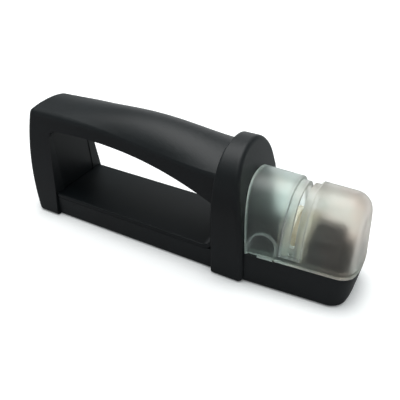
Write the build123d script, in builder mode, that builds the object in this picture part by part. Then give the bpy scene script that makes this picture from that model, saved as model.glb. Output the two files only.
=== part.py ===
from build123d import *
import os
from math import cos, sin, tan, pi, radians

os.makedirs("parts", exist_ok=True)

# A hand-held sharpener with one blade slot, in millimetres. X runs forward to the tip, Z up.
# The origin lies on the resting surface, below the middle of the overall length.

# Driving dimensions of the whole
overall_length = 190.0
front_length = 51.5
collar_depth = 17.6
collar_width = 47.4
collar_foot_width = 45.4
collar_height = 67.5
collar_shoulder_height = 38.0
collar_face_radius = 290.0
leg_depth = 19.2
handle_height = 67.8
grip_width = 32.4
leg_foot_width = 44.6
rail_width = 39.6
deck_height = 14.2
parting_height = 16.0
seam_height = 18.0
foot_stand = 0.4
cover_height = 53.1
front_width_at_collar = 41.0
front_width_at_tip = 33.6

# Roundness of the arches: 2 is an ellipse, more is squarer
collar_arch_power = 2.28
cover_arch_power = 2.42
arch_steps = 12

# Walls, clearances and the overrun that all cuts share
tray_wall = 2.2
cover_wall = 2.0
panel_thickness = 2.0
joint_gap = 0.1
slide_gap = 0.3
running_clearance = 0.05
overrun = 4.0

# Rounded edges of the casing
collar_front_round = 2.5
collar_rear_round = 1.0
collar_foot_round = 1.2
leg_back_round = 3.0
leg_foot_round = 1.6
leg_crown_round = 10.0
crown_crease_round = 3.6
front_corner_round = 8.5
front_draft = 4.0
tray_draft = 7.5
bow_radius = 60.0
tray_foot_round = 1.5
rail_foot_round = 1.2
deck_edge_round = 0.8
deck_groove = 0.5

# Places that follow from the driving dimensions
rear_x = -overall_length / 2
tip_x = overall_length / 2
collar_front_x = tip_x - front_length
collar_rear_x = collar_front_x - collar_depth
leg_front_x = rear_x + leg_depth
front_taper = (front_width_at_collar - front_width_at_tip) / 2 / front_length
draft_slope = tan(radians(front_draft))


def front_half_width(x):
    """Half width of tray and cover, which narrow towards the tip."""
    return front_width_at_collar / 2 - front_taper * (x - collar_front_x)


def arch_points(half_width, shoulder, crest, power):
    """Points of a tall arch, from its left foot over the crest to its right foot."""
    points = []
    for step in range(arch_steps + 1):
        angle = pi - pi * step / arch_steps
        across = cos(angle)
        side = -1 if across < 0 else 1
        y = side * half_width * abs(across) ** (2 / power)
        z = shoulder + (crest - shoulder) * abs(sin(angle)) ** (2 / power)
        points.append((y, z))
    return points


# Collar, or hand guard: one arched block that the two casing mouldings share

collar_half = collar_width / 2
collar_foot_half = collar_foot_width / 2
collar_lean = (collar_half - collar_foot_half) / (collar_shoulder_height - foot_stand)


def behind_collar_face(gap):
    """All that lies behind the collar's front face, which curves back in a long arc."""
    with BuildPart() as block:
        with BuildSketch(Plane.XZ):
            with Locations((collar_front_x - collar_face_radius, 0)):
                Circle(collar_face_radius + gap)
        extrude(amount=collar_width, both=True)
    return block.part


collar_side = behind_collar_face(0)

with BuildPart() as collar_block:
    with BuildSketch(Plane.YZ.offset(collar_rear_x)):
        with BuildLine():
            Spline(
                *arch_points(collar_half, collar_shoulder_height, collar_height, collar_arch_power),
                tangents=((-collar_lean, 1), (-collar_lean, -1)),
            )
            Polyline(
                (collar_half, collar_shoulder_height),
                (collar_foot_half, foot_stand),
                (-collar_foot_half, foot_stand),
                (-collar_half, collar_shoulder_height),
            )
        make_face()
    extrude(amount=collar_depth)
    add(collar_side, mode=Mode.INTERSECT)
    foot_edges = collar_block.edges().filter_by(Axis.X).group_by(Axis.Z)[0]
    fillet(foot_edges, collar_foot_round)
    rear_edges = collar_block.faces().sort_by(Axis.X)[0].edges()
    fillet(rear_edges, collar_rear_round)
    front_face = collar_block.faces().filter_by(GeomType.CYLINDER).sort_by(Axis.X)[-1]
    front_edges = front_face.edges().filter_by(lambda edge: edge.center().Z > foot_stand + overrun)
    fillet(front_edges, collar_front_round)

collar_top = collar_block.part.split(Plane.XY.offset(parting_height), keep=Keep.TOP)
collar_bottom = collar_block.part.split(Plane.XY.offset(parting_height), keep=Keep.BOTTOM)

# Finger opening of the loop, seen from the side

opening_corner_round = 5.0
opening_front_round = 4.0
leg_lean = 2.4
underside_height_shares = (0.767, 0.757, 0.605)
underside_middle_share = 0.58
underside_rear_height = handle_height * underside_height_shares[0]
underside_middle_height = handle_height * underside_height_shares[1]
underside_front_height = handle_height * underside_height_shares[2]
upstand_x = collar_rear_x - panel_thickness
underside_rear_x = leg_front_x - leg_lean
underside_middle_x = leg_front_x + underside_middle_share * (collar_rear_x - leg_front_x)


def opening_block(outset, width):
    """The opening as a block across the given width, grown by outset; the deck is its floor."""
    with BuildPart() as block:
        with BuildSketch(Plane.XZ.offset(-width / 2)) as side_view:
            with BuildLine():
                Line((leg_front_x, deck_height), (underside_rear_x, underside_rear_height))
                ThreePointArc(
                    (underside_rear_x, underside_rear_height),
                    (underside_middle_x, underside_middle_height),
                    (upstand_x, underside_front_height),
                )
                Line((upstand_x, underside_front_height), (upstand_x, deck_height))
                Line((upstand_x, deck_height), (leg_front_x, deck_height))
            make_face()
            upper_rear = side_view.vertices().sort_by(Axis.X)[0]
            fillet(upper_rear, opening_corner_round)
            lower_front = side_view.vertices().sort_by(Axis.X)[-2:].sort_by(Axis.Y)[0]
            fillet(lower_front, opening_front_round)
            if outset:
                offset(amount=outset)
        extrude(amount=width)
    return block.part


# Handle body: grip, rear leg and the collar above the parting line

handle_rear_x = rear_x - overrun
handle_front_x = collar_rear_x + collar_depth / 4
handle_span = handle_front_x - handle_rear_x
station_shares = (0.0, 0.22, 0.42, 0.65, 0.81, 1.0)
crest_shares = (0.938, 0.946, 0.984, 0.996, 0.961, 0.915)
crease_shares = (0.895, 0.905, 0.892, 0.853, 0.823, 0.820)
grip_width_shares = (0.88, 0.92, 0.97, 1.02, 1.10, 1.22)
foot_width_shares = (1.0, 1.0, 1.0, 1.0, 1.0, 1.02)
leg_bulge_height_share = 0.58
leg_foot_inset = 4.8
leg_top_inset = 1.7
leg_top_share = 0.957
tongue_length = 13.5
tongue_width = 28.0
tongue_height = 10.0
liner_width = 27.0
liner_recess = 0.4
case_screw_shank = 3.0
case_screw_head = 6.0
case_screw_head_height = 2.0
case_screw_length = 20.0
case_screw_bore_gap = 0.2
leg_screw_inset = 11.0
leg_screw_spread = 18.0
collar_screw_inset = 8.5
collar_screw_spread = 30.0
leg_top_x = rear_x + leg_top_inset + leg_lean
leg_screw_x = rear_x + leg_screw_inset
collar_screw_x = collar_rear_x + collar_screw_inset
case_screw_places = (
    (leg_screw_x, -leg_screw_spread / 2),
    (leg_screw_x, leg_screw_spread / 2),
    (collar_screw_x, -collar_screw_spread / 2),
    (collar_screw_x, collar_screw_spread / 2),
)

finger_opening = opening_block(0, collar_width)
liner_opening = opening_block(panel_thickness, liner_width)

with BuildPart() as handle_body:
    for station in range(len(station_shares)):
        station_x = handle_rear_x + handle_span * station_shares[station]
        foot_half = leg_foot_width / 2 * foot_width_shares[station]
        crease_half = grip_width / 2 * grip_width_shares[station]
        crease_z = handle_height * crease_shares[station]
        crest_z = handle_height * crest_shares[station]
        with BuildSketch(Plane.YZ.offset(station_x)) as station_sketch:
            with BuildLine():
                ThreePointArc((-crease_half, crease_z), (0, crest_z), (crease_half, crease_z))
                Polyline(
                    (crease_half, crease_z),
                    (foot_half, foot_stand),
                    (-foot_half, foot_stand),
                    (-crease_half, crease_z),
                )
            make_face()
            creases = station_sketch.vertices().filter_by(lambda corner: corner.Y > handle_height / 2)
            fillet(creases, crown_crease_round)
    loft()
    # The rear wall bulges back in a long arc and is rounded over into the crown
    with BuildSketch(Plane.XZ) as leg_profile:
        with BuildLine():
            ThreePointArc(
                (rear_x + leg_foot_inset, foot_stand),
                (rear_x, handle_height * leg_bulge_height_share),
                (leg_top_x, leg_top_share * handle_height),
            )
            Polyline(
                (leg_top_x, leg_top_share * handle_height),
                (leg_front_x, handle_height),
                (handle_front_x, handle_height + overrun),
                (handle_front_x, foot_stand),
                (rear_x + leg_foot_inset, foot_stand),
            )
        make_face()
        leg_top = leg_profile.vertices().filter_by(lambda corner: abs(corner.X - leg_top_x) < joint_gap)
        fillet(leg_top, leg_crown_round)
    extrude(amount=collar_width, both=True, mode=Mode.INTERSECT)
    leg_back = handle_body.faces().sort_by(Axis.X)[0]
    back_edges = leg_back.edges().sort_by(Axis.Y)
    fillet([back_edges[0], back_edges[-1]], leg_back_round)
    fillet(handle_body.faces().sort_by(Axis.Z)[0].edges(), leg_foot_round)
    # The finger opening, and the room for the rail below it
    add(finger_opening, mode=Mode.SUBTRACT)
    with BuildSketch(Plane.XZ):
        with BuildLine():
            Polyline(
                (leg_front_x, foot_stand - overrun),
                (leg_front_x, deck_height + opening_front_round),
                (upstand_x - joint_gap, deck_height + opening_front_round),
                (upstand_x - joint_gap, underside_front_height),
                (collar_rear_x, underside_front_height),
                (collar_rear_x, parting_height),
                (handle_front_x + overrun, parting_height),
                (handle_front_x + overrun, foot_stand - overrun),
                close=True,
            )
        make_face()
    extrude(amount=collar_width, both=True, mode=Mode.SUBTRACT)
    split(bisect_by=Plane.YZ.offset(collar_rear_x + collar_rear_round), keep=Keep.BOTTOM)
    add(collar_top)
    # Pocket for the liner, and for the rail's tongue in the foot of the leg
    add(liner_opening, mode=Mode.SUBTRACT)
    with BuildSketch(Plane.XY.offset(foot_stand - overrun)):
        with Locations((leg_front_x - (tongue_length + joint_gap - overrun) / 2, 0)):
            Rectangle(tongue_length + joint_gap + overrun, tongue_width + 2 * joint_gap)
    extrude(amount=tongue_height + overrun + joint_gap, mode=Mode.SUBTRACT)
    # Screw pilots, up into the leg and into the collar
    with BuildSketch(Plane.XY.offset(foot_stand)):
        with Locations(*case_screw_places):
            Circle(case_screw_shank / 2 + running_clearance)
    extrude(amount=case_screw_length + case_screw_head_height, mode=Mode.SUBTRACT)

handle_body.part.label = "handle_body"
export_step(handle_body.part, "parts/handle_body.step")

# Liner under the grip and down the leg's inner face, set back from the rims

notch_width = 1.0
notch_depth = 1.4
notch_pitch = 8.5
notch_count = 3
notch_rear_gap = 7.0
liner_outside = opening_block(panel_thickness - joint_gap, liner_width - 2 * joint_gap)
liner_inside = opening_block(liner_recess, liner_width)

with BuildPart() as grip_liner:
    add(liner_outside)
    add(liner_inside, mode=Mode.SUBTRACT)
    split(bisect_by=Plane.XY.offset(deck_height + joint_gap), keep=Keep.TOP)
    split(bisect_by=Plane.YZ.offset(upstand_x - joint_gap), keep=Keep.BOTTOM)
    with BuildSketch(Plane.XZ):
        with BuildLine():
            Polyline(
                (leg_front_x + overrun, deck_height - overrun),
                (leg_front_x + overrun, underside_front_height),
                (collar_rear_x, underside_front_height),
                (collar_rear_x, deck_height - overrun),
                close=True,
            )
        make_face()
    extrude(amount=liner_width, both=True, mode=Mode.SUBTRACT)
    # Three small snap notches in each long edge, near the leg
    with BuildSketch(Plane.XY.offset(handle_height)):
        for notch in range(notch_count):
            notch_x = underside_rear_x + notch_rear_gap + notch * notch_pitch
            with Locations((notch_x, -liner_width / 2), (notch_x, liner_width / 2)):
                Rectangle(notch_width, 2 * notch_depth)
    extrude(amount=-handle_height / 3, mode=Mode.SUBTRACT)

grip_liner.part.label = "grip_liner"
export_step(grip_liner.part, "parts/grip_liner.step")

# Deck liner: the deck panel, turned up in front of the collar to meet the grip

deck_outside = opening_block(panel_thickness, rail_width)
deck_inside = opening_block(0, rail_width + overrun)

with BuildPart() as deck_liner:
    add(deck_outside)
    add(deck_inside, mode=Mode.SUBTRACT)
    with BuildSketch(Plane.XZ):
        with BuildLine():
            Polyline(
                (leg_front_x + joint_gap, deck_height - overrun),
                (collar_rear_x + overrun, deck_height - overrun),
                (collar_rear_x + overrun, underside_front_height - joint_gap),
                (upstand_x - joint_gap, underside_front_height - joint_gap),
                (upstand_x - overrun, deck_height + opening_front_round + joint_gap),
                (leg_front_x + joint_gap, deck_height + joint_gap),
                close=True,
            )
        make_face()
    extrude(amount=rail_width, both=True, mode=Mode.INTERSECT)
    side_faces = deck_liner.faces().sort_by(Axis.Y)
    side_edges = side_faces[0].edges() + side_faces[-1].edges()
    deck_edges = side_edges.filter_by(
        lambda edge: edge.center().Z > deck_height - joint_gap and edge.center().X < upstand_x + joint_gap
    )
    fillet(deck_edges.filter_by(lambda edge: edge.length > opening_front_round), deck_edge_round)

deck_liner.part.label = "deck_liner"
export_step(deck_liner.part, "parts/deck_liner.step")

# Base body: the rail with its tongue, the collar's lower part and the water tray

rail_wall = 2.0
rail_roof = 2.2
plate_width = 35.6
plate_end_gap = 3.5
plate_screw_shank = 2.2
plate_screw_head = 4.4
plate_screw_head_height = 1.2
plate_screw_length = 8.0
plate_screw_boss = 6.0
plate_screw_spread = 24.0
plate_screw_inset = 12.0
rib_thickness = 1.8
tray_floor = 2.2
tray_rear_wall = 1.0
foot_width = 10.0
foot_recess = 0.8
foot_fit_gap = 0.1
front_foot_inset = 11.0
front_foot_spread = 17.0
rear_foot_inset = 24.0
rear_foot_spread = 22.0
peg_width = 3.0
peg_spread = 19.0
cradle_rear_inset = 6.5
cradle_front_inset = 9.0
cradle_floor = 2.0
cradle_rear_x = collar_front_x + cradle_rear_inset
cradle_front_x = tip_x - cradle_front_inset
peg_places = (
    (cradle_rear_x + peg_width, -peg_spread / 2),
    (cradle_rear_x + peg_width, peg_spread / 2),
    (cradle_front_x - peg_width, -peg_spread / 2),
    (cradle_front_x - peg_width, peg_spread / 2),
)
rail_top = deck_height - panel_thickness
plate_rear_x = leg_front_x + plate_end_gap
plate_front_x = collar_rear_x - plate_end_gap
plate_middle_x = (plate_rear_x + plate_front_x) / 2
plate_length = plate_front_x - plate_rear_x
plate_top = foot_stand + panel_thickness
tray_floor_top = foot_stand + tray_floor
plate_screw_places = (
    (plate_rear_x + plate_screw_inset, -plate_screw_spread / 2),
    (plate_rear_x + plate_screw_inset, plate_screw_spread / 2),
    (plate_front_x - plate_screw_inset, -plate_screw_spread / 2),
    (plate_front_x - plate_screw_inset, plate_screw_spread / 2),
)
front_foot_places = (
    (tip_x - front_foot_inset, -front_foot_spread / 2),
    (tip_x - front_foot_inset, front_foot_spread / 2),
)
rear_foot_places = (
    (plate_rear_x + rear_foot_inset, -rear_foot_spread / 2),
    (plate_rear_x + rear_foot_inset, rear_foot_spread / 2),
)


def front_block(inset, floor, roof):
    """Upright block on the plan of tray and cover, drawn in by inset."""
    start_x = collar_front_x - collar_depth / 2
    end_x = tip_x + overrun
    with BuildPart() as block:
        with BuildSketch(Plane.XY.offset(floor)):
            with BuildLine():
                Polyline(
                    (start_x, -front_half_width(start_x) + inset),
                    (end_x, -front_half_width(end_x) + inset),
                    (end_x, front_half_width(end_x) - inset),
                    (start_x, front_half_width(start_x) - inset),
                    close=True,
                )
            make_face()
        extrude(amount=roof - floor)
        with BuildSketch(Plane.XY.offset(roof)):
            with Locations((tip_x - bow_radius, 0)):
                Circle(bow_radius - inset)
        extrude(amount=floor - roof, taper=tray_draft, mode=Mode.INTERSECT)
        bow_face = block.faces().sort_by(Axis.X)[-1]
        end_corners = bow_face.edges().filter_by(lambda edge: edge.length > (roof - floor) / 2)
        end_corners = end_corners.sort_by(Axis.Y)
        fillet([end_corners[0], end_corners[-1]], front_corner_round - inset)
    return block.part


tray_block = front_block(0, foot_stand, seam_height)
tray_hollow = front_block(tray_wall, tray_floor_top, seam_height)
tray_room = tray_hollow.split(Plane.YZ.offset(collar_front_x + tray_rear_wall), keep=Keep.TOP)
collar_top_side = collar_side.split(Plane.XY.offset(parting_height), keep=Keep.TOP)

with BuildPart() as base_body:
    add(tray_block)
    tray_foot = base_body.faces().sort_by(Axis.Z)[0].edges().filter_by(
        lambda edge: edge.center().X > collar_front_x - collar_depth / 4
    )
    fillet(tray_foot, tray_foot_round)
    add(collar_top_side, mode=Mode.SUBTRACT)
    add(collar_bottom)
    add(tray_room, mode=Mode.SUBTRACT)
    # Four pegs on the tray's floor hold the cradle in its place
    with BuildSketch(Plane.XY.offset(tray_floor_top)):
        with Locations(*peg_places):
            Circle(peg_width / 2)
    extrude(amount=joint_gap + cradle_floor)
    # Rail with grooved upper edges, and its tongue into the leg
    with BuildSketch(Plane.YZ.offset(leg_front_x + joint_gap)) as rail_section:
        with Locations((0, (foot_stand + rail_top) / 2)):
            Rectangle(rail_width, rail_top - foot_stand)
        chamfer(rail_section.vertices().group_by(Axis.Y)[-1], deck_groove)
        fillet(rail_section.vertices().group_by(Axis.Y)[0], rail_foot_round)
    extrude(amount=collar_rear_x + collar_rear_round - leg_front_x)
    with BuildSketch(Plane.XY.offset(foot_stand)):
        with Locations((leg_front_x - (tongue_length - overrun) / 2, 0)):
            Rectangle(tongue_length + overrun, tongue_width)
    extrude(amount=tongue_height)
    # Hollow under the rail, with two cross ribs and four screw bosses
    with BuildSketch(Plane.XY.offset(foot_stand)):
        with Locations((plate_middle_x, 0)):
            Rectangle(plate_length + 2 * joint_gap, plate_width + 2 * joint_gap)
    extrude(amount=panel_thickness + joint_gap, mode=Mode.SUBTRACT)
    with BuildSketch(Plane.XY.offset(plate_top)):
        with Locations((plate_middle_x, 0)):
            Rectangle(plate_length - 2 * rail_wall, plate_width - 2 * rail_wall)
        with Locations((plate_middle_x - plate_length / 6, 0), (plate_middle_x + plate_length / 6, 0)):
            Rectangle(rib_thickness, plate_width, mode=Mode.SUBTRACT)
        with Locations(*plate_screw_places):
            Circle(plate_screw_boss / 2, mode=Mode.SUBTRACT)
    extrude(amount=rail_top - rail_roof - plate_top, mode=Mode.SUBTRACT)
    # Bores and counterbores of the screws, recesses of the front feet
    with BuildSketch(Plane.XY.offset(foot_stand)):
        with Locations(*case_screw_places):
            Circle(case_screw_shank / 2 + case_screw_bore_gap)
    extrude(amount=parting_height, mode=Mode.SUBTRACT)
    with BuildSketch(Plane.XY.offset(foot_stand)):
        with Locations(*case_screw_places):
            Circle(case_screw_head / 2 + case_screw_bore_gap)
    extrude(amount=case_screw_head_height, mode=Mode.SUBTRACT)
    with BuildSketch(Plane.XY.offset(plate_top)):
        with Locations(*plate_screw_places):
            Circle(plate_screw_shank / 2 + running_clearance)
    extrude(amount=plate_screw_length - panel_thickness, mode=Mode.SUBTRACT)
    with BuildSketch(Plane.XY.offset(foot_stand)):
        with Locations(*front_foot_places):
            Circle(foot_width / 2 + foot_fit_gap)
    extrude(amount=foot_recess, mode=Mode.SUBTRACT)

base_body.part.label = "base_body"
export_step(base_body.part, "parts/base_body.step")

# Bottom plate, set in flush below the rail

with BuildPart() as bottom_plate:
    with BuildSketch(Plane.XY.offset(foot_stand)):
        with Locations((plate_middle_x, 0)):
            RectangleRounded(plate_length, plate_width, rail_foot_round)
    extrude(amount=panel_thickness)
    with BuildSketch(Plane.XY.offset(foot_stand)):
        with Locations(*plate_screw_places):
            Circle(plate_screw_shank / 2 + case_screw_bore_gap)
    extrude(amount=panel_thickness, mode=Mode.SUBTRACT)
    with BuildSketch(Plane.XY.offset(foot_stand)):
        with Locations(*plate_screw_places):
            Circle(plate_screw_head / 2 + case_screw_bore_gap)
    extrude(amount=plate_screw_head_height, mode=Mode.SUBTRACT)
    with BuildSketch(Plane.XY.offset(foot_stand)):
        with Locations(*rear_foot_places):
            Circle(foot_width / 2 + foot_fit_gap)
    extrude(amount=foot_recess, mode=Mode.SUBTRACT)

bottom_plate.part.label = "bottom_plate"
export_step(bottom_plate.part, "parts/bottom_plate.step")

# Screws that go up from below: four that join the casing, four in the bottom plate

with BuildPart() as case_screws:
    with BuildSketch(Plane.XY.offset(foot_stand)):
        with Locations(*case_screw_places):
            Circle(case_screw_head / 2)
    extrude(amount=case_screw_head_height)
    with BuildSketch(Plane.XY.offset(foot_stand)):
        with Locations(*case_screw_places):
            Circle(case_screw_shank / 2)
    extrude(amount=case_screw_length)

case_screws.part.label = "case_screws"
export_step(case_screws.part, "parts/case_screws.step")

with BuildPart() as plate_screws:
    with BuildSketch(Plane.XY.offset(foot_stand)):
        with Locations(*plate_screw_places):
            Circle(plate_screw_head / 2)
    extrude(amount=plate_screw_head_height)
    with BuildSketch(Plane.XY.offset(foot_stand)):
        with Locations(*plate_screw_places):
            Circle(plate_screw_shank / 2)
    extrude(amount=plate_screw_length)

plate_screws.part.label = "plate_screws"
export_step(plate_screws.part, "parts/plate_screws.step")

# Four rubber feet, let into the bottom plate and the tray

foot_names = ("rear_left_foot", "rear_right_foot", "front_left_foot", "front_right_foot")
foot_places = (rear_foot_places[1], rear_foot_places[0], front_foot_places[1], front_foot_places[0])
foot_edge_round = 0.4

for foot_name, foot_place in zip(foot_names, foot_places):
    with BuildPart() as rubber_foot:
        with BuildSketch():
            with Locations(foot_place):
                Circle(foot_width / 2)
        extrude(amount=foot_stand + foot_recess)
        fillet(rubber_foot.faces().sort_by(Axis.Z)[0].edges(), foot_edge_round)
    rubber_foot.part.label = foot_name
    export_step(rubber_foot.part, "parts/" + foot_name + ".step")

# Clear cover: an arched hood with a sunk band around the blade slot, lifting off the tray

lip_depth = 2.5
lip_rise = 1.5
lip_gap = 0.6
lip_thickness = 1.0
band_depth = 1.6
band_width = 9.3
band_foot_height = 21.9
slot_inset = 30.5
slot_width = 2.7
slot_foot_height = 27.0
band_rim_round = 0.6
dimple_width = 2.4
dimple_depth = 0.6
dimple_height = 23.9
scallop_inset = 43.8
scallop_round = 7.1
scallop_top_height = 31.6
scallop_depth = 1.1
scallop_slope = 42.0
scallop_tool_depth = 2.5
pull_tab_width = 7.5
pull_tab_height = 1.2
pull_tab_reach = 1.5
pull_tab_lead = 2.0
slot_x = tip_x - slot_inset
slot_half_width = front_half_width(slot_x)
scallop_x = tip_x - scallop_inset
cover_foot = seam_height + joint_gap
lip_foot = seam_height - lip_depth
lip_inset = tray_wall + lip_gap
front_start_x = collar_front_x - collar_depth / 2
front_end_x = tip_x + overrun


def arched_block(inset, rounded_end=True):
    """Arched block on the plan of the cover, drawn in by inset, with upright feet below the seam."""
    tool_foot = lip_foot - overrun
    with BuildPart() as block:
        for section_x in (front_start_x, front_end_x):
            half = front_half_width(section_x) - inset
            with BuildSketch(Plane.YZ.offset(section_x)):
                with BuildLine():
                    Spline(
                        *arch_points(half, seam_height, cover_height - inset, cover_arch_power),
                        tangents=((0, 1), (0, -1)),
                    )
                    Polyline(
                        (half, seam_height),
                        (half, lip_foot),
                        (-half, lip_foot),
                        (-half, seam_height),
                    )
                make_face()
        loft(ruled=True)
        with BuildSketch(Plane.XY.offset(tool_foot)):
            with Locations((tip_x - bow_radius, 0)):
                Circle(bow_radius - inset + draft_slope * (seam_height - tool_foot))
        extrude(amount=cover_height, taper=front_draft, mode=Mode.INTERSECT)
        if rounded_end:
            bow_face = block.faces().sort_by(Axis.X)[-1]
            bow_edges = bow_face.edges().filter_by(lambda edge: edge.center().Z > lip_foot + joint_gap)
            fillet(bow_edges, front_corner_round - inset)
    return block.part


def cross_slab(rear, front, low, high):
    """Slab between two X places and two heights, right across the part."""
    with BuildPart() as slab:
        with BuildSketch(Plane.XY.offset(low)):
            with Locations(((rear + front) / 2, 0)):
                Rectangle(front - rear, 2 * collar_width)
        extrude(amount=high - low)
    return slab.part


cover_outside = arched_block(0)
cover_block = cover_outside.split(Plane.XY.offset(cover_foot), keep=Keep.TOP)
cover_block = cover_block - behind_collar_face(slide_gap)
cover_inside = arched_block(cover_wall)
lip_inside = arched_block(lip_inset + lip_thickness)
band_rear_x = slot_x - band_width / 2
band_front_x = slot_x + band_width / 2
band_cut = cross_slab(band_rear_x, band_front_x, band_foot_height, cover_height + overrun)
band_cut = band_cut - arched_block(band_depth, rounded_end=False)
band_room = cross_slab(band_rear_x - cover_wall, band_front_x + cover_wall, 0, cover_height + overrun)
band_inside = arched_block(band_depth + cover_wall, rounded_end=False) & band_room
lip_rear_x = collar_front_x + tray_rear_wall + lip_gap
ledge_room = cross_slab(lip_rear_x, front_end_x, lip_foot, cover_foot + lip_rise) - lip_inside
cover_room = (cover_inside - band_room + band_inside) - ledge_room
lip_slab = cross_slab(lip_rear_x, front_end_x, lip_foot, cover_foot + joint_gap)
lip_ring = (arched_block(lip_inset) & lip_slab) - lip_inside
tab_rear_x = scallop_x - pull_tab_width / 2 + pull_tab_lead
tab_slab = cross_slab(tab_rear_x, tab_rear_x + pull_tab_width, cover_foot, cover_foot + pull_tab_height)
pull_tabs = (arched_block(scallop_depth - pull_tab_reach, rounded_end=False) & tab_slab) - cover_inside
scallop_floor = arched_block(scallop_depth, rounded_end=False)

scallop_tool_y = front_half_width(scallop_x) - scallop_tool_depth
scallop_tool_radius = scallop_round - scallop_tool_depth * tan(radians(scallop_slope))
scallop_middle_height = scallop_top_height - scallop_round

with BuildPart() as scallop_cut:
    # Half round hollows on both sides, with a sloping wall
    with BuildSketch(Plane.XZ.offset(scallop_tool_y)):
        with Locations((scallop_x, scallop_middle_height)):
            Circle(scallop_tool_radius)
        with Locations((scallop_x, scallop_middle_height / 2)):
            Rectangle(2 * scallop_tool_radius, scallop_middle_height)
    extrude(amount=overrun, taper=-scallop_slope)
    mirror(about=Plane.XZ)
    add(scallop_floor, mode=Mode.SUBTRACT)

with BuildPart() as clear_cover:
    add(cover_block)
    add(cover_room, mode=Mode.SUBTRACT)
    add(lip_ring)
    add(band_cut, mode=Mode.SUBTRACT)
    # Soft rims where the sunk band meets the arch
    band_rims = clear_cover.edges().filter_by(
        lambda edge: (
            edge.length > cover_height / 2
            and abs(abs(edge.center().X - slot_x) - band_width / 2) < joint_gap
            and edge.bounding_box().max.Z > cover_height - joint_gap
        )
    )
    fillet(band_rims, band_rim_round)
    add(scallop_cut.part, mode=Mode.SUBTRACT)
    add(pull_tabs)
    # Blade slot over the whole arch, with round ends low on both sides
    with BuildSketch(Plane.XZ):
        with Locations((slot_x, slot_foot_height + slot_width / 2)):
            Circle(slot_width / 2)
        with Locations((slot_x, slot_foot_height + slot_width / 2 + cover_height / 2)):
            Rectangle(slot_width, cover_height)
    extrude(amount=collar_width, both=True, mode=Mode.SUBTRACT)
    # A small dimple below each end of the slot
    with BuildSketch(Plane.XZ.offset(slot_half_width - band_depth - dimple_depth)):
        with Locations((slot_x, dimple_height)):
            Circle(dimple_width / 2)
    extrude(amount=overrun, mode=Mode.SUBTRACT)
    with BuildSketch(Plane.XZ.offset(-(slot_half_width - band_depth - dimple_depth))):
        with Locations((slot_x, dimple_height)):
            Circle(dimple_width / 2)
    extrude(amount=-overrun, mode=Mode.SUBTRACT)

clear_cover.part.label = "clear_cover"
export_step(clear_cover.part, "parts/clear_cover.step")

# Cradle of the wheels: a floor frame with the rear cheek, and the front block screwed to it

wheel_height = 22.5
wheel_outer_radius = 14.2
wheel_half_depth = 5.0
hub_flange = 0.9
hub_flange_ring_depth = 0.8
washer_thickness = 0.8
washer_width = 9.0
axle_width = 4.0
axle_head_width = 7.0
axle_head_depth = 1.4
axle_tail = 4.2
axle_end_gap = 0.5
cheek_thickness = 3.0
cheek_width = 13.0
cradle_width = 25.6
window_width = 12.0
window_depth = 16.0
block_inset = 5.5
block_shoulder_height = 28.0
block_top_height = 43.0
block_arch_power = 2.6
block_end_round = 4.0
block_wall = 1.8
block_solid_depth = 6.5
cradle_screw_inset = 3.6
cradle_screw_spread = 14.0
cradle_screw_length = 12.0
hub_rear_x = slot_x - wheel_half_depth - hub_flange
hub_front_x = slot_x + wheel_half_depth + hub_flange
rear_washer_x = hub_rear_x - joint_gap - washer_thickness
front_washer_x = hub_front_x + joint_gap
cheek_front_x = rear_washer_x - joint_gap
cheek_rear_x = cheek_front_x - cheek_thickness
block_rear_x = front_washer_x + washer_thickness + joint_gap
frame_foot = tray_floor_top + joint_gap
frame_top = frame_foot + cradle_floor
block_foot = frame_top + joint_gap
cradle_screw_places = (
    (block_rear_x + cradle_screw_inset, -cradle_screw_spread / 2),
    (block_rear_x + cradle_screw_inset, cradle_screw_spread / 2),
)

with BuildPart() as cradle_frame:
    with BuildSketch(Plane.XY.offset(frame_foot)):
        with Locations(((cradle_rear_x + cradle_front_x) / 2, 0)):
            RectangleRounded(cradle_front_x - cradle_rear_x, cradle_width, peg_width)
        with Locations((slot_x, 0)):
            Rectangle(window_width, window_depth, mode=Mode.SUBTRACT)
        with Locations(*peg_places):
            Circle(peg_width / 2 + joint_gap, mode=Mode.SUBTRACT)
    extrude(amount=cradle_floor)
    with BuildSketch(Plane.YZ.offset(cheek_rear_x)):
        with BuildLine():
            Polyline(
                (cheek_width / 2, wheel_height),
                (cradle_width / 2 - peg_width, frame_foot),
                (-cradle_width / 2 + peg_width, frame_foot),
                (-cheek_width / 2, wheel_height),
            )
            ThreePointArc(
                (-cheek_width / 2, wheel_height),
                (0, wheel_height + cheek_width / 2),
                (cheek_width / 2, wheel_height),
            )
        make_face()
        with Locations((0, wheel_height)):
            Circle(axle_width / 2 + running_clearance, mode=Mode.SUBTRACT)
    extrude(amount=cheek_thickness)
    with BuildSketch(Plane.XY.offset(frame_foot)):
        with Locations(*cradle_screw_places):
            Circle(plate_screw_shank / 2 + case_screw_bore_gap)
    extrude(amount=cradle_floor, mode=Mode.SUBTRACT)
    with BuildSketch(Plane.XY.offset(frame_foot)):
        with Locations(*cradle_screw_places):
            Circle(plate_screw_head / 2 + case_screw_bore_gap)
    extrude(amount=plate_screw_head_height, mode=Mode.SUBTRACT)

cradle_frame.part.label = "cradle_frame"
export_step(cradle_frame.part, "parts/cradle_frame.step")


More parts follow.
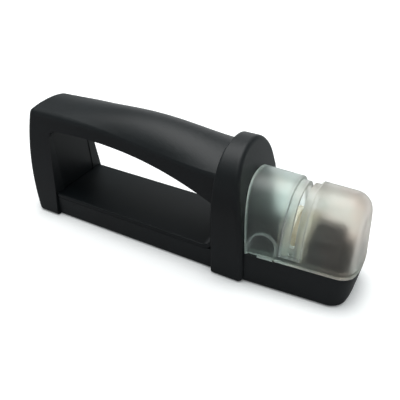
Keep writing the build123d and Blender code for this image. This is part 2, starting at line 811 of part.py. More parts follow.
def nose_block(inset, rear, front, foot):
    """Arched nose that follows the taper of the cover, drawn in by inset."""
    with BuildPart() as block:
        for section_x in (rear, front):
            half = front_half_width(section_x) - block_inset - inset
            with BuildSketch(Plane.YZ.offset(section_x)):
                with BuildLine():
                    Spline(
                        *arch_points(half, block_shoulder_height, block_top_height - inset, block_arch_power),
                        tangents=((0, 1), (0, -1)),
                    )
                    Polyline(
                        (half, block_shoulder_height),
                        (half, foot),
                        (-half, foot),
                        (-half, block_shoulder_height),
                    )
                make_face()
        loft(ruled=True)
        end_edges = block.faces().sort_by(Axis.X)[-1].edges()
        fillet(end_edges.filter_by(lambda edge: edge.center().Z > foot + joint_gap), block_end_round - inset)
    return block.part


nose_outside = nose_block(0, block_rear_x, cradle_front_x, block_foot)
nose_hollow_rear_x = block_rear_x + block_solid_depth
nose_hollow = nose_block(block_wall, nose_hollow_rear_x, cradle_front_x - block_wall, block_foot)

with BuildPart() as cradle_front_block:
    add(nose_outside)
    add(nose_hollow, mode=Mode.SUBTRACT)
    with BuildSketch(Plane.YZ.offset(block_rear_x)):
        with Locations((0, wheel_height)):
            Circle(axle_width / 2 + running_clearance)
    extrude(amount=axle_tail + axle_end_gap, mode=Mode.SUBTRACT)
    with BuildSketch(Plane.XY.offset(block_foot)):
        with Locations(*cradle_screw_places):
            Circle(plate_screw_shank / 2 + running_clearance)
    extrude(amount=cradle_screw_length - cradle_floor + joint_gap, mode=Mode.SUBTRACT)

cradle_front_block.part.label = "cradle_front_block"
export_step(cradle_front_block.part, "parts/cradle_front_block.step")

with BuildPart() as cradle_screws:
    with BuildSketch(Plane.XY.offset(frame_foot)):
        with Locations(*cradle_screw_places):
            Circle(plate_screw_head / 2)
    extrude(amount=plate_screw_head_height)
    with BuildSketch(Plane.XY.offset(frame_foot)):
        with Locations(*cradle_screw_places):
            Circle(plate_screw_shank / 2)
    extrude(amount=cradle_screw_length)

cradle_screws.part.label = "cradle_screws"
export_step(cradle_screws.part, "parts/cradle_screws.step")

# Axle through the cheek and into the front block, and its two washers

with BuildPart() as wheel_axle:
    with BuildSketch(Plane.YZ.offset(cheek_rear_x - axle_head_depth - joint_gap)):
        with Locations((0, wheel_height)):
            Circle(axle_head_width / 2)
    extrude(amount=axle_head_depth)
    with BuildSketch(Plane.YZ.offset(cheek_rear_x - joint_gap)):
        with Locations((0, wheel_height)):
            Circle(axle_width / 2)
    extrude(amount=block_rear_x + axle_tail - cheek_rear_x + joint_gap)

wheel_axle.part.label = "wheel_axle"
export_step(wheel_axle.part, "parts/wheel_axle.step")

for washer_name, washer_x in (
    ("rear_spacer_washer", rear_washer_x),
    ("front_spacer_washer", front_washer_x),
):
    with BuildPart() as spacer_washer:
        with BuildSketch(Plane.YZ.offset(washer_x)):
            with Locations((0, wheel_height)):
                Circle(washer_width / 2)
                Circle(axle_width / 2 + running_clearance, mode=Mode.SUBTRACT)
        extrude(amount=washer_thickness)
    spacer_washer.part.label = washer_name
    export_step(spacer_washer.part, "parts/" + washer_name + ".step")

# Wheel set: two ceramic wheels whose flanks form a V, on a flanged hub with a closing ring

hub_width = 10.8
hub_flange_width = 19.0
v_root_radius = 8.0
v_half_angle = 20.0
tooth_count = 12
tooth_reach = 0.6
tooth_clearance = 0.1
tooth_share = 0.45
v_slope = tan(radians(v_half_angle))
wheel_bore_radius = hub_width / 2 + running_clearance
tooth_pitch = 2 * pi / tooth_count

with BuildPart() as wheel_hub:
    with BuildSketch(Plane.YZ.offset(hub_rear_x)):
        with Locations((0, wheel_height)):
            Circle(hub_flange_width / 2)
    extrude(amount=hub_flange - running_clearance)
    with BuildSketch(Plane.YZ.offset(hub_rear_x)):
        with Locations((0, wheel_height)):
            Circle(hub_width / 2)
    extrude(amount=hub_front_x - hub_rear_x)
    with BuildSketch(Plane.YZ.offset(hub_rear_x)):
        with Locations((0, wheel_height)):
            Circle(axle_width / 2 + running_clearance)
    extrude(amount=hub_front_x - hub_rear_x, mode=Mode.SUBTRACT)

wheel_hub.part.label = "wheel_hub"
export_step(wheel_hub.part, "parts/wheel_hub.step")

with BuildPart() as hub_flange_ring:
    with BuildSketch(Plane.YZ.offset(hub_front_x - hub_flange_ring_depth)):
        with Locations((0, wheel_height)):
            Circle(hub_flange_width / 2)
            Circle(wheel_bore_radius, mode=Mode.SUBTRACT)
    extrude(amount=hub_flange_ring_depth)

hub_flange_ring.part.label = "hub_flange_ring"
export_step(hub_flange_ring.part, "parts/hub_flange_ring.step")


def toothed_wheel(first_angle):
    """Wheel on the rear side of the slot: a cone flank with teeth that reach past the middle."""
    tooth_x = slot_x + tooth_reach
    tooth_root_x = slot_x - tooth_reach - tooth_clearance
    tooth_tip_radius = v_root_radius - tooth_reach / v_slope
    rim_x = slot_x - (wheel_outer_radius - v_root_radius) * v_slope
    with BuildPart() as wheel:
        with BuildSketch(Plane.XZ):
            with BuildLine():
                Polyline(
                    (slot_x - wheel_half_depth, wheel_height + wheel_bore_radius),
                    (tooth_x, wheel_height + wheel_bore_radius),
                    (tooth_x, wheel_height + tooth_tip_radius),
                    (rim_x, wheel_height + wheel_outer_radius),
                    (slot_x - wheel_half_depth, wheel_height + wheel_outer_radius),
                    close=True,
                )
            make_face()
        revolve(axis=Axis((0, 0, wheel_height), (1, 0, 0)))
        # Gaps between the teeth, where the teeth of the other wheel run
        with BuildSketch(Plane.YZ.offset(tooth_root_x)):
            for tooth in range(tooth_count):
                middle = first_angle + (tooth + 1 / 2) * tooth_pitch
                half_gap = tooth_pitch * (1 - tooth_share) / 2
                with BuildLine():
                    Polyline(
                        (0, wheel_height),
                        (
                            wheel_outer_radius * cos(middle - half_gap),
                            wheel_height + wheel_outer_radius * sin(middle - half_gap),
                        ),
                        (
                            wheel_outer_radius * cos(middle + half_gap),
                            wheel_height + wheel_outer_radius * sin(middle + half_gap),
                        ),
                        close=True,
                    )
                make_face()
        extrude(amount=2 * overrun, mode=Mode.SUBTRACT)
    return wheel.part


rear_wheel = toothed_wheel(0)
front_wheel = mirror(toothed_wheel(tooth_pitch / 2), about=Plane.YZ.offset(slot_x))

with BuildPart() as rear_ceramic_wheel:
    add(rear_wheel)

rear_ceramic_wheel.part.label = "rear_ceramic_wheel"
export_step(rear_ceramic_wheel.part, "parts/rear_ceramic_wheel.step")

with BuildPart() as front_ceramic_wheel:
    add(front_wheel)

front_ceramic_wheel.part.label = "front_ceramic_wheel"
export_step(front_ceramic_wheel.part, "parts/front_ceramic_wheel.step")
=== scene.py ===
"""Hand-held knife sharpener with a loop grip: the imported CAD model, dressed for a studio picture.

Lengths are in metres, in the frame of the CAD model: X runs forward to the tip, Z up.
"""

import bpy
from math import radians
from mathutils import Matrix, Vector


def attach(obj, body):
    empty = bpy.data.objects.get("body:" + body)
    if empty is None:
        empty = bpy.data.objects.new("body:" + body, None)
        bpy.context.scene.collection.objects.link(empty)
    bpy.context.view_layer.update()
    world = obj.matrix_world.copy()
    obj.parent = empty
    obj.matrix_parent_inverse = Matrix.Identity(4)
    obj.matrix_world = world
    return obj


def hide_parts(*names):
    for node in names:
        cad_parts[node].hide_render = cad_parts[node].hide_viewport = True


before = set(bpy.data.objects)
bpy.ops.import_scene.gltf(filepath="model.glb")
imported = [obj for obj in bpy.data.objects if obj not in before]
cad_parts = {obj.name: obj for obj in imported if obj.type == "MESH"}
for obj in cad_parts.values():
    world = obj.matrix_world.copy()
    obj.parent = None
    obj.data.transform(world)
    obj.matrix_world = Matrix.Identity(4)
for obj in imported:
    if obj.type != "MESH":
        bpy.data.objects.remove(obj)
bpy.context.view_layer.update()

MM = 0.001
WHITE = (1.0, 1.0, 1.0, 1.0)


# Shader nodes

def linear(code):
    """An sRGB hex colour as linear red, green, blue and full alpha."""
    channels = [int(code[place:place + 2], 16) / 255 for place in (1, 3, 5)]
    return [c / 12.92 if c <= 0.04045 else ((c + 0.055) / 1.055) ** 2.4 for c in channels] + [1.0]


def add_node(tree, kind, inputs=None, **settings):
    """A node of that kind with its settings; each input is a value or another node's socket."""
    node = tree.nodes.new(kind)
    for name, value in settings.items():
        setattr(node, name, value)
    for socket, value in (inputs or {}).items():
        if isinstance(value, bpy.types.NodeSocket):
            tree.links.new(value, node.inputs[socket])
        else:
            node.inputs[socket].default_value = value
    return node


def combine(tree, operation, first, *others):
    """The math operation on the first value alone, or on it and each of the others in turn."""
    if not others:
        return add_node(tree, "ShaderNodeMath", {0: first}, operation=operation).outputs[0]
    for other in others:
        node = add_node(tree, "ShaderNodeMath", {0: first, 1: other}, operation=operation)
        first = node.outputs[0]
    return first


def distance(tree, across, up):
    """How far a place is that lies across and up by these two."""
    way = add_node(tree, "ShaderNodeCombineXYZ", {"X": across, "Y": up})
    return add_node(
        tree, "ShaderNodeVectorMath", {0: way.outputs["Vector"]}, operation="LENGTH"
    ).outputs["Value"]


def spread(tree, value, low, high, start=0.0, end=1.0, **settings):
    """The value's range from start to end mapped onto low to high, and held there outside it."""
    return add_node(
        tree, "ShaderNodeMapRange",
        {"Value": value, "From Min": start, "From Max": end, "To Min": low, "To Max": high},
        **settings,
    ).outputs["Result"]


def noise(tree, place, size, detail):
    """A noise between 0 and 1 with blotches of about that size."""
    return add_node(
        tree, "ShaderNodeTexNoise", {"Vector": place, "Scale": 1 / size, "Detail": detail}
    ).outputs["Fac"]


def colour_ramp(tree, factor, stops):
    """A ramp from factor to colours; stops are (position, hex) pairs."""
    ramp = add_node(tree, "ShaderNodeValToRGB", {"Fac": factor})
    elements = ramp.color_ramp.elements
    while len(elements) < len(stops):
        elements.new(0.5)
    for element, (position, code) in zip(elements, stops):
        element.position = position
        element.color = linear(code)
    return ramp.outputs["Color"]


def start_material(name):
    """A material with its output node only, and the coordinates that place its patterns."""
    material = bpy.data.materials.new(name)
    material.use_nodes = True
    tree = material.node_tree
    tree.nodes.clear()
    output = add_node(tree, "ShaderNodeOutputMaterial")
    place = add_node(tree, "ShaderNodeTexCoord").outputs["Object"]
    return material, tree, output, place


def surface(tree, tone, rough, relief, relief_strength, relief_depth, more):
    """A principled shader with that tone, roughness and fine relief, and more inputs by name."""
    bump = add_node(
        tree, "ShaderNodeBump",
        {"Height": relief, "Strength": relief_strength, "Distance": relief_depth},
    )
    inputs = {"Base Color": tone, "Roughness": rough, "Normal": bump.outputs["Normal"], **more}
    return add_node(tree, "ShaderNodeBsdfPrincipled", inputs).outputs["BSDF"]


# Materials of the casing, the cradle and the small plastic parts

def moulded_plastic(name, dark, light, rough_low, rough_high, grain, depth, gloss):
    """Moulded plastic: a fine grain from the mould, with faint handling marks on it."""
    material, tree, output, place = start_material(name)
    # Broad, faint changes of tone and shine, as on handled plastic
    clouds = noise(tree, place, 30.0 * MM, 3.0)
    pits = noise(tree, place, grain, 2.0)
    shader = surface(
        tree,
        tone=colour_ramp(tree, clouds, ((0.3, dark), (0.7, light))),
        rough=spread(tree, clouds, rough_low, rough_high),
        relief=pits, relief_strength=0.35, relief_depth=depth,
        more={"IOR": 1.54, "Specular IOR Level": gloss},
    )
    tree.links.new(shader, output.inputs["Surface"])
    return material


# ABS from a spark-eroded mould: near-black and satin, its grain drawn coarser than the real 0.1 mm
casing_abs = moulded_plastic(
    "spark_eroded_black_abs", dark="#0c1012", light="#12171a",
    rough_low=0.45, rough_high=0.53, grain=0.6 * MM, depth=0.12 * MM, gloss=0.4,
)
# The liners come from a smoother mould, so they look a little shinier; their tone is a little
# darker as painted shade of the finger loop they lie in
liner_abs = moulded_plastic(
    "smooth_black_abs", dark="#0b0f11", light="#101518",
    rough_low=0.34, rough_high=0.42, grain=0.5 * MM, depth=0.012 * MM, gloss=0.3,
)
# Glass-filled nylon of the cradle: dull, and a little greyer than the casing
cradle_nylon = moulded_plastic(
    "filled_black_nylon", dark="#121417", light="#191b1d",
    rough_low=0.42, rough_high=0.55, grain=0.4 * MM, depth=0.02 * MM, gloss=0.4,
)
# Acetal of hub and washers: off-white and waxy
hub_acetal = moulded_plastic(
    "moulded_white_acetal", dark="#cfcdc4", light="#dcdad2",
    rough_low=0.3, rough_high=0.38, grain=0.6 * MM, depth=0.006 * MM, gloss=0.5,
)


# Material of the cover

# Places on the cover that it follows; the guard's front is an arc about an axis along Y, at Z 0
COVER_FOOT = 18.1 * MM
GUARD_FRONT = 43.5 * MM
GUARD_RADIUS = 290.3 * MM
SLOT_X = 64.5 * MM
SLOT_HALF = 1.35 * MM
BAND_HALF = 4.65 * MM
BAND_FOOT = 21.5 * MM
TIP_X = 95.0 * MM
SCALLOP_X = 51.2 * MM
SCALLOP_Z = 24.5 * MM
SCALLOP_RADIUS = 6.5 * MM
SCALLOP_SIDE = 12.0 * MM
SCALLOP_FADE = 5.0 * MM

# How far each painted highlight line reaches to both sides of its edge
FOOT_LINE = 1.0 * MM
GUARD_LINE = 0.9 * MM
BAND_LINE = 0.8 * MM
SLOT_LINE = 0.7 * MM
SCALLOP_LINE = 0.75 * MM

# Strength of the frost against that of a painted highlight line: in the band, and at a scallop's
# foot and top
BAND_MILK = 0.32
SCALLOP_FOOT_SHINE = 0.05
SCALLOP_TOP_SHINE = 0.7

# Share of light let through: by the walls, and by the painted highlight lines
WALL_CLEAR = 0.99
LINE_CLEAR = 0.55

# How far the painted colour cast of the light leans the tone to the green at the guard, and to the
# yellow at the tip
LIGHT_CAST_LEAN = 0.25


def edge_line(tree, value, edge, half_width):
    """1 where the value is at the edge, falling to 0 at half_width from it."""
    away = combine(tree, "ABSOLUTE", combine(tree, "SUBTRACT", value, edge))
    return spread(
        tree, away, 1.0, 0.0, start=half_width / 3, end=half_width, interpolation_type="SMOOTHSTEP"
    )


def hood_lines(tree, x, y, z):
    """Mask of painted highlights: 1 on the hood's bright edges, less over the sunk band and the
    scallops' rims, 0 elsewhere.
    """
    foot = edge_line(tree, z, COVER_FOOT, FOOT_LINE)
    from_axis = combine(tree, "SUBTRACT", x, GUARD_FRONT - GUARD_RADIUS)
    rim = edge_line(tree, distance(tree, from_axis, z), GUARD_RADIUS, GUARD_LINE)
    from_slot = combine(tree, "ABSOLUTE", combine(tree, "SUBTRACT", x, SLOT_X))
    band = edge_line(tree, from_slot, BAND_HALF, BAND_LINE)
    slot = edge_line(tree, from_slot, SLOT_HALF, SLOT_LINE)
    above = combine(tree, "GREATER_THAN", z, BAND_FOOT)
    rims = combine(tree, "MULTIPLY", combine(tree, "MAXIMUM", band, slot), above)
    # The sunk band is frosted more than the rest
    within = combine(tree, "LESS_THAN", from_slot, BAND_HALF)
    milk = combine(tree, "MULTIPLY", within, above, BAND_MILK)
    # Rim of the finger scallop on each side: an arch, half round above and straight below
    outward = distance(
        tree, combine(tree, "SUBTRACT", x, SCALLOP_X),
        combine(tree, "MAXIMUM", combine(tree, "SUBTRACT", z, SCALLOP_Z), 0.0),
    )
    arch = edge_line(tree, outward, SCALLOP_RADIUS, SCALLOP_LINE)
    on_side = combine(tree, "GREATER_THAN", combine(tree, "ABSOLUTE", y), SCALLOP_SIDE)
    # The painted highlight on the rim fades out towards the foot, where the scallop runs out level
    # with the wall
    fade = spread(
        tree, z, SCALLOP_FOOT_SHINE, SCALLOP_TOP_SHINE,
        start=SCALLOP_Z - SCALLOP_FADE, end=SCALLOP_Z,
    )
    scallop = combine(tree, "MULTIPLY", arch, fade, on_side)
    return combine(tree, "MAXIMUM", foot, rim, rims, milk, scallop)


def frosted_hood():
    """Clear styrene acrylonitrile from a blasted mould: it blurs what shows through it.

    The glow of light gathering in its edges is painted: the foot, the rim at the guard, and the
    rims of band, slot and scallops are made milky, so that they shine white.
    """
    material, tree, output, place = start_material("frosted_clear_san")
    clouds = noise(tree, place, 18.0 * MM, 2.0)
    # Blasted grain, drawn coarser than the real one
    frost = noise(tree, place, 0.6 * MM, 2.0)
    axes = add_node(tree, "ShaderNodeSeparateXYZ", {"Vector": place}).outputs
    lines = hood_lines(tree, axes["X"], axes["Y"], axes["Z"])
    # Faintly green like thick clear plastic; the lean to green at the guard and to yellow at the
    # tip is a painted colour cast of the light
    light_cast = spread(tree, axes["X"], -LIGHT_CAST_LEAN, LIGHT_CAST_LEAN, start=GUARD_FRONT, end=TIP_X)
    # The painted highlight lines let less light through, so that they show white
    shader = surface(
        tree,
        tone=colour_ramp(
            tree, combine(tree, "ADD", clouds, light_cast), ((0.3, "#e0eae6"), (0.7, "#e8e1da"))
        ),
        rough=spread(tree, clouds, 0.33, 0.38),
        relief=frost, relief_strength=0.35, relief_depth=0.06 * MM,
        more={"IOR": 1.35, "Transmission Weight": spread(tree, lines, WALL_CLEAR, LINE_CLEAR)},
    )
    # Lamps shine through the thin walls onto what the hood covers
    path = add_node(tree, "ShaderNodeLightPath")
    veil = add_node(tree, "ShaderNodeBsdfTransparent", {"Color": linear("#e4e8e4")})
    walls = add_node(
        tree, "ShaderNodeMixShader",
        {0: path.outputs["Is Shadow Ray"], 1: shader, 2: veil.outputs["BSDF"]},
    )
    tree.links.new(walls.outputs["Shader"], output.inputs["Surface"])
    return material


hood_san = frosted_hood()


# Materials of the wheels, the metal parts and the feet

def sintered_ceramic():
    """Sintered alumina: cream, matt and fine grained, in faintly blotched tones."""
    material, tree, output, place = start_material("sintered_cream_alumina")
    grit = noise(tree, place, 0.3 * MM, 4.0)
    blotches = noise(tree, place, 4.0 * MM, 3.0)
    shader = surface(
        tree,
        tone=colour_ramp(
            tree, blotches, ((0.25, "#ddd5bd"), (0.5, "#ece6d5"), (0.75, "#f2eee2"))
        ),
        rough=spread(tree, grit, 0.55, 0.75),
        relief=grit, relief_strength=0.5, relief_depth=0.03 * MM,
        more={"IOR": 1.76},
    )
    tree.links.new(shader, output.inputs["Surface"])
    return material


def turned_steel():
    """Stainless steel, turned on a lathe: fine rings that stretch the light."""
    material, tree, output, place = start_material("turned_stainless_steel")
    rings = add_node(
        tree, "ShaderNodeTexWave",
        {"Vector": place, "Scale": 1 / (0.6 * MM), "Distortion": 1.5, "Detail": 2.0},
        wave_type="BANDS", bands_direction="X",
    ).outputs["Fac"]
    stain = noise(tree, place, 5.0 * MM, 2.0)
    shader = surface(
        tree,
        tone=colour_ramp(tree, stain, ((0.3, "#b4b6b8"), (0.7, "#c6c8ca"))),
        rough=spread(tree, rings, 0.24, 0.36),
        relief=rings, relief_strength=0.2, relief_depth=0.01 * MM,
        more={"Metallic": 1.0},
    )
    tree.links.new(shader, output.inputs["Surface"])
    return material


def moulded_rubber():
    """Nitrile rubber: dull black with a faint bloom on it."""
    material, tree, output, place = start_material("moulded_nitrile_rubber")
    bloom = noise(tree, place, 2.0 * MM, 3.0)
    shader = surface(
        tree,
        tone=colour_ramp(tree, bloom, ((0.35, "#1c1c1c"), (0.7, "#2a2a29"))),
        rough=spread(tree, bloom, 0.7, 0.85),
        relief=bloom, relief_strength=0.3, relief_depth=0.03 * MM,
        more={"IOR": 1.52},
    )
    tree.links.new(shader, output.inputs["Surface"])
    return material


wheel_alumina = sintered_ceramic()
steel = turned_steel()
foot_nitrile = moulded_rubber()

node_materials = {
    "handle_body": casing_abs, "base_body": casing_abs, "bottom_plate": casing_abs,
    "grip_liner": liner_abs, "deck_liner": liner_abs,
    "clear_cover": hood_san,
    "cradle_frame": cradle_nylon, "cradle_front_block": cradle_nylon,
    "rear_ceramic_wheel": wheel_alumina, "front_ceramic_wheel": wheel_alumina,
    "wheel_hub": hub_acetal, "hub_flange_ring": hub_acetal,
    "rear_spacer_washer": hub_acetal, "front_spacer_washer": hub_acetal,
    "wheel_axle": steel, "case_screws": steel, "plate_screws": steel, "cradle_screws": steel,
    "rear_left_foot": foot_nitrile, "rear_right_foot": foot_nitrile,
    "front_left_foot": foot_nitrile, "front_right_foot": foot_nitrile,
}
for node_name, material in node_materials.items():
    for material_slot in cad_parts[node_name].material_slots:
        material_slot.material = material


# Modelling tools

# Less than any real distance on the pieces, so that a test for a plane isn't missed by rounding
HAIR = 0.01 * MM
ROUND_SIDES = 40
SMOOTH_ANGLE = radians(35)
UPRIGHT = (0.0, 0.0, 0.0)
ALONG_X = (0.0, radians(90), 0.0)


def select_only(piece):
    """Only the piece is selected, and it is the active one."""
    bpy.ops.object.select_all(action="DESELECT")
    piece.select_set(True)
    bpy.context.view_layer.objects.active = piece


def drawn_box(name, low, high):
    """A cube drawn out from its low to its high corner, with its origin left at the frame's."""
    bpy.ops.object.select_all(action="DESELECT")
    bpy.ops.mesh.primitive_cube_add(size=1.0, location=(0, 0, 0))
    box = bpy.context.object
    box.name = name
    bpy.ops.object.mode_set(mode="EDIT")
    bpy.ops.mesh.select_all(action="SELECT")
    bpy.ops.transform.resize(value=high - low, center_override=(0, 0, 0))
    bpy.ops.transform.translate(value=(low + high) / 2)
    bpy.ops.object.mode_set(mode="OBJECT")
    return box


def drawn_rod(radius, middle, depth, turn):
    """A round rod about its middle, with its origin at the frame's."""
    bpy.ops.object.select_all(action="DESELECT")
    bpy.ops.mesh.primitive_cylinder_add(
        vertices=ROUND_SIDES, radius=radius, depth=depth, location=middle, rotation=turn
    )
    rod = bpy.context.object
    bpy.ops.object.transform_apply(location=True, rotation=True, scale=True)
    return rod


def clear_picks(kind):
    """Object mode, with no edge or face of the active piece selected any more."""
    bpy.ops.object.mode_set(mode="EDIT")
    bpy.ops.mesh.select_mode(type=kind)
    bpy.ops.mesh.select_all(action="DESELECT")
    bpy.ops.object.mode_set(mode="OBJECT")


def pick_edges(piece, test):
    """Edit mode, with only those edges selected whose two ends pass the test."""
    clear_picks("EDGE")
    for edge in piece.data.edges:
        edge.select = test(*[piece.data.vertices[end].co for end in edge.vertices])
    bpy.ops.object.mode_set(mode="EDIT")


def pick_faces(piece, test):
    """Edit mode, with only those faces selected whose middle passes the test."""
    clear_picks("FACE")
    for face in piece.data.polygons:
        face.select = test(face.center)
    bpy.ops.object.mode_set(mode="EDIT")


def cut(piece, cutter):
    """The cutter is taken out of the piece and deleted."""
    boolean = piece.modifiers.new("cut", "BOOLEAN")
    boolean.operation = "DIFFERENCE"
    boolean.solver = "EXACT"
    boolean.object = cutter
    bpy.context.view_layer.objects.active = piece
    bpy.ops.object.modifier_apply(modifier=boolean.name)
    bpy.data.objects.remove(cutter)


# Front block of the cradle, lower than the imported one: the photo shows its top through the hood,
# below the tops of the wheels. It keeps the bores of the axle and of the two screws.

BLOCK_LOW = Vector((71.4, -11.6, 4.8)) * MM
BLOCK_HIGH = Vector((84.5, 11.6, 31.0)) * MM
# Width of its front against its rear
BLOCK_TAPER = 0.95
BLOCK_SHOULDER = 6.0 * MM
SHOULDER_SEGMENTS = 10
BLOCK_NOSE_ROUND = 3.0 * MM
NOSE_SEGMENTS = 5
# Each bore's radius, middle and depth
AXLE_BORE = (2.05 * MM, Vector((73.2, 0.0, 22.5)) * MM, 6.0 * MM)
SCREW_BORES = [
    (1.15 * MM, Vector((75.0, side * 7.0, 9.4)) * MM, 11.0 * MM) for side in (-1, 1)
]


def lower_block():
    """The nose: a block narrowing forward, with a wide round over its shoulders and its front."""
    nose = drawn_box("cradle_front_nose", BLOCK_LOW, BLOCK_HIGH)
    front = BLOCK_HIGH.x - HAIR
    top = BLOCK_HIGH.z - HAIR
    foot = BLOCK_LOW.z + HAIR
    pick_edges(nose, lambda a, b: min(a.x, b.x) > front)
    bpy.ops.transform.resize(value=(1.0, BLOCK_TAPER, 1.0), center_override=(0, 0, 0))
    pick_edges(nose, lambda a, b: min(a.z, b.z) > top and a.y * b.y > 0)
    bpy.ops.mesh.bevel(offset=BLOCK_SHOULDER, segments=SHOULDER_SEGMENTS, affect="EDGES")
    pick_edges(nose, lambda a, b: min(a.x, b.x) > front and max(a.z, b.z) > foot)
    bpy.ops.mesh.bevel(offset=BLOCK_NOSE_ROUND, segments=NOSE_SEGMENTS, affect="EDGES")
    bpy.ops.object.mode_set(mode="OBJECT")
    cut(nose, drawn_rod(*AXLE_BORE, ALONG_X))
    for screw_bore in SCREW_BORES:
        cut(nose, drawn_rod(*screw_bore, UPRIGHT))
    select_only(nose)
    bpy.ops.object.shade_smooth_by_angle(angle=SMOOTH_ANGLE)
    nose.data.materials.append(cradle_nylon)
    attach(nose, "casing")
    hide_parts("cradle_front_block")


lower_block()


# Screws of the underside: rounded heads with a cross recess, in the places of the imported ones

def side_pairs(*pairs):
    """Places right and left of the middle plane, for each X and Y in millimetres."""
    return [(x * MM, side * y * MM) for x, y in pairs for side in (-1, 1)]


SCREW_FOOT = 0.4 * MM
CASE_SCREW_PLACES = side_pairs((-84.0, 9.0), (34.4, 15.0))
PLATE_SCREW_PLACES = side_pairs((-60.3, 12.0), (10.4, 12.0))
# Arms of the cross and round of the rim as shares of the head's radius, depth as one of its height
RECESS_REACH = 0.62
RECESS_HALF_WIDTH = 0.13
RECESS_DEPTH = 0.6
SCREW_RIM = 0.16
RIM_SEGMENTS = 4


def cross_screws(name, node, places, head, head_height, shank, length):
    """Screws of one kind, modelled once and copied: head below, shank above, cross in the head.

    head and shank are radii, and length is that of the whole screw.
    """
    low_end, high_end = SCREW_FOOT + HAIR, SCREW_FOOT + length - HAIR
    head_top = SCREW_FOOT + head_height - HAIR
    screw = drawn_rod(head, (0.0, 0.0, SCREW_FOOT + head_height / 2), head_height, UPRIGHT)
    screw.name = name
    pick_faces(screw, lambda centre: centre.z > head_top)
    bpy.ops.mesh.inset(thickness=head - shank)
    bpy.ops.mesh.extrude_region_move(
        TRANSFORM_OT_translate={"value": (0.0, 0.0, length - head_height)}
    )
    pick_edges(screw, lambda a, b: max(a.z, b.z) < low_end or min(a.z, b.z) > high_end)
    bpy.ops.mesh.bevel(offset=SCREW_RIM * head, segments=RIM_SEGMENTS, affect="EDGES")
    bpy.ops.object.mode_set(mode="OBJECT")
    reach, half_width = RECESS_REACH * head, RECESS_HALF_WIDTH * head
    for wide, narrow in ((reach, half_width), (half_width, reach)):
        low = Vector((-wide, -narrow, SCREW_FOOT - MM))
        high = Vector((wide, narrow, SCREW_FOOT + RECESS_DEPTH * head_height))
        cut(screw, drawn_box("recess", low, high))
    select_only(screw)
    copies = [screw]
    while len(copies) < len(places):
        bpy.ops.object.duplicate()
        copies.append(bpy.context.object)
    for one, place in zip(copies, places):
        one.location = (*place, 0.0)
        one.select_set(True)
    bpy.ops.object.transform_apply(location=True, rotation=True, scale=True)
    bpy.ops.object.join()
    screws = bpy.context.object
    screws.name = name
    bpy.ops.object.shade_smooth_by_angle(angle=SMOOTH_ANGLE)
    screws.data.materials.append(steel)
    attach(screws, "casing")
    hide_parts(node)


cross_screws(
    "cross_case_screws", "case_screws", CASE_SCREW_PLACES,
    head=3.0 * MM, head_height=2.0 * MM, shank=1.5 * MM, length=20.0 * MM,
)
cross_screws(
    "cross_plate_screws", "plate_screws", PLATE_SCREW_PLACES,
    head=2.2 * MM, head_height=1.2 * MM, shank=1.1 * MM, length=8.0 * MM,
)


# Stage: a pale floor that shows white to the camera and keeps the shadow, with a painted contact
# shadow close under the part

FLOOR_SIZE = 8.0
# What the board bounces grows from the front to the back of the part, up to this share of white
BOUNCE_FRONT_Y = -0.15
BOUNCE_BACK_Y = 0.2
BOUNCE_BACK = 0.5
# The camera sees a glow on it that grows to white over this range of distances from the part
GLOW_NEAR = 0.2
GLOW_FAR = 0.8
GLOW_AT_PART = 0.42
# Reach and rays of the painted contact shadow: a dark line close under the part's edges
CONTACT_REACH = 9.0 * MM
CONTACT_SAMPLES = 8


def pale_floor():
    """Matt white board to the eye; what bounces from it to the part is dimmed."""
    material, tree, output, place = start_material("matt_white_board")
    path = add_node(tree, "ShaderNodeLightPath").outputs
    seen = combine(tree, "MAXIMUM", path["Is Camera Ray"], path["Is Transmission Ray"])
    depth = add_node(tree, "ShaderNodeSeparateXYZ", {"Vector": place}).outputs["Y"]
    back = spread(tree, depth, 0.0, BOUNCE_BACK, start=BOUNCE_FRONT_Y, end=BOUNCE_BACK_Y)
    tone = colour_ramp(
        tree, combine(tree, "MAXIMUM", seen, back),
        ((0.0, "#7c777a"), (0.5, "#e4e6e6"), (1.0, "#f4f4f4")),
    )
    # Far from the part the board's glow fades up to plain white; close under its edges a painted
    # contact shadow darkens it
    away = add_node(tree, "ShaderNodeVectorMath", {0: place}, operation="LENGTH").outputs["Value"]
    far = spread(tree, away, GLOW_AT_PART, 1.0, start=GLOW_NEAR, end=GLOW_FAR)
    contact_shadow = add_node(
        tree, "ShaderNodeAmbientOcclusion", {"Distance": CONTACT_REACH}, samples=CONTACT_SAMPLES
    ).outputs["AO"]
    shader = add_node(
        tree, "ShaderNodeBsdfPrincipled",
        {
            "Base Color": tone, "Roughness": 0.9, "Specular IOR Level": 0.0,
            "Emission Color": WHITE,
            "Emission Strength": combine(tree, "MULTIPLY", seen, far, contact_shadow),
        },
    )
    tree.links.new(shader.outputs["BSDF"], output.inputs["Surface"])
    return material


bpy.ops.object.select_all(action="DESELECT")
bpy.ops.mesh.primitive_plane_add(size=FLOOR_SIZE, location=(0, 0, 0))
floor = bpy.context.object
floor.name = "floor"
floor.data.materials.append(pale_floor())


# Light: a room around the part, and two soft boxes

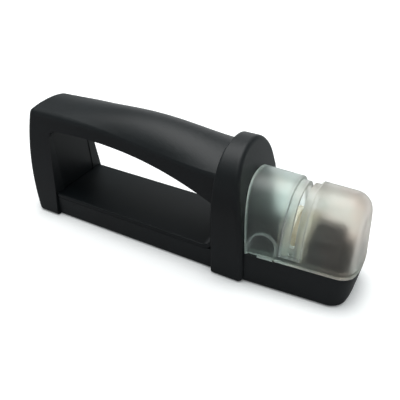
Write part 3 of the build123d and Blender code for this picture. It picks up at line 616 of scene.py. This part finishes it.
def studio_room():
    """A room bright at the horizon and overhead, dim between, and plain white to the camera."""
    world = bpy.data.worlds.new("studio")
    world.use_nodes = True
    tree = world.node_tree
    tree.nodes.clear()
    output = add_node(tree, "ShaderNodeOutputWorld")
    place = add_node(tree, "ShaderNodeTexCoord").outputs["Generated"]
    axes = add_node(tree, "ShaderNodeSeparateXYZ", {"Vector": place})
    room = colour_ramp(
        tree, axes.outputs["Z"],
        (
            (0.0, "#dfe3e4"), (0.12, "#c4cacc"), (0.32, "#41474a"),
            (0.58, "#41474a"), (0.75, "#c2cccd"), (0.9, "#e8efef"),
        ),
    )
    path = add_node(tree, "ShaderNodeLightPath")
    # In a mix of colours, inputs 6 and 7 and output 2 are the colour sockets
    seen = add_node(
        tree, "ShaderNodeMix", {0: path.outputs["Is Camera Ray"], 6: room, 7: WHITE},
        data_type="RGBA",
    ).outputs[2]
    light = add_node(tree, "ShaderNodeBackground", {"Color": seen, "Strength": 1.0})
    tree.links.new(light.outputs["Background"], output.inputs["Surface"])
    return world


bpy.context.scene.world = studio_room()


def soft_box(name, place, target, size, power):
    """A square area lamp at place, turned to face target."""
    lamp = bpy.data.lights.new(name, "AREA")
    lamp.size = size
    lamp.energy = power
    box = bpy.data.objects.new(name, lamp)
    bpy.context.scene.collection.objects.link(box)
    box.location = place
    box.rotation_euler = (Vector(target) - Vector(place)).to_track_quat("-Z", "Y").to_euler()


# Middle of the part, where both boxes point
LIT_PLACE = (0.0, 0.0, 0.03)
soft_box("key_box", (-0.10, 0.10, 0.74), LIT_PLACE, size=0.6, power=3.4)
soft_box("back_box", (-0.35, 0.9, 0.18), LIT_PLACE, size=0.6, power=0.8)


# Camera, fitted to the photograph for a square frame of 400 by 400

AZIMUTH = 28.73
ELEVATION = 34.14
camera_data = bpy.data.cameras.new("camera")
camera_data.lens = 45.0
camera_data.sensor_width = 36.0
camera_data.sensor_fit = "HORIZONTAL"
camera_data.clip_start = 0.01
camera = bpy.data.objects.new("camera", camera_data)
bpy.context.scene.collection.objects.link(camera)
camera.location = (112.8 * MM, -191.8 * MM, 173.5 * MM)
camera.rotation_euler = (radians(90 - ELEVATION), 0.0, radians(AZIMUTH))
bpy.context.scene.camera = camera
bpy.context.scene.view_settings.view_transform = "Standard"
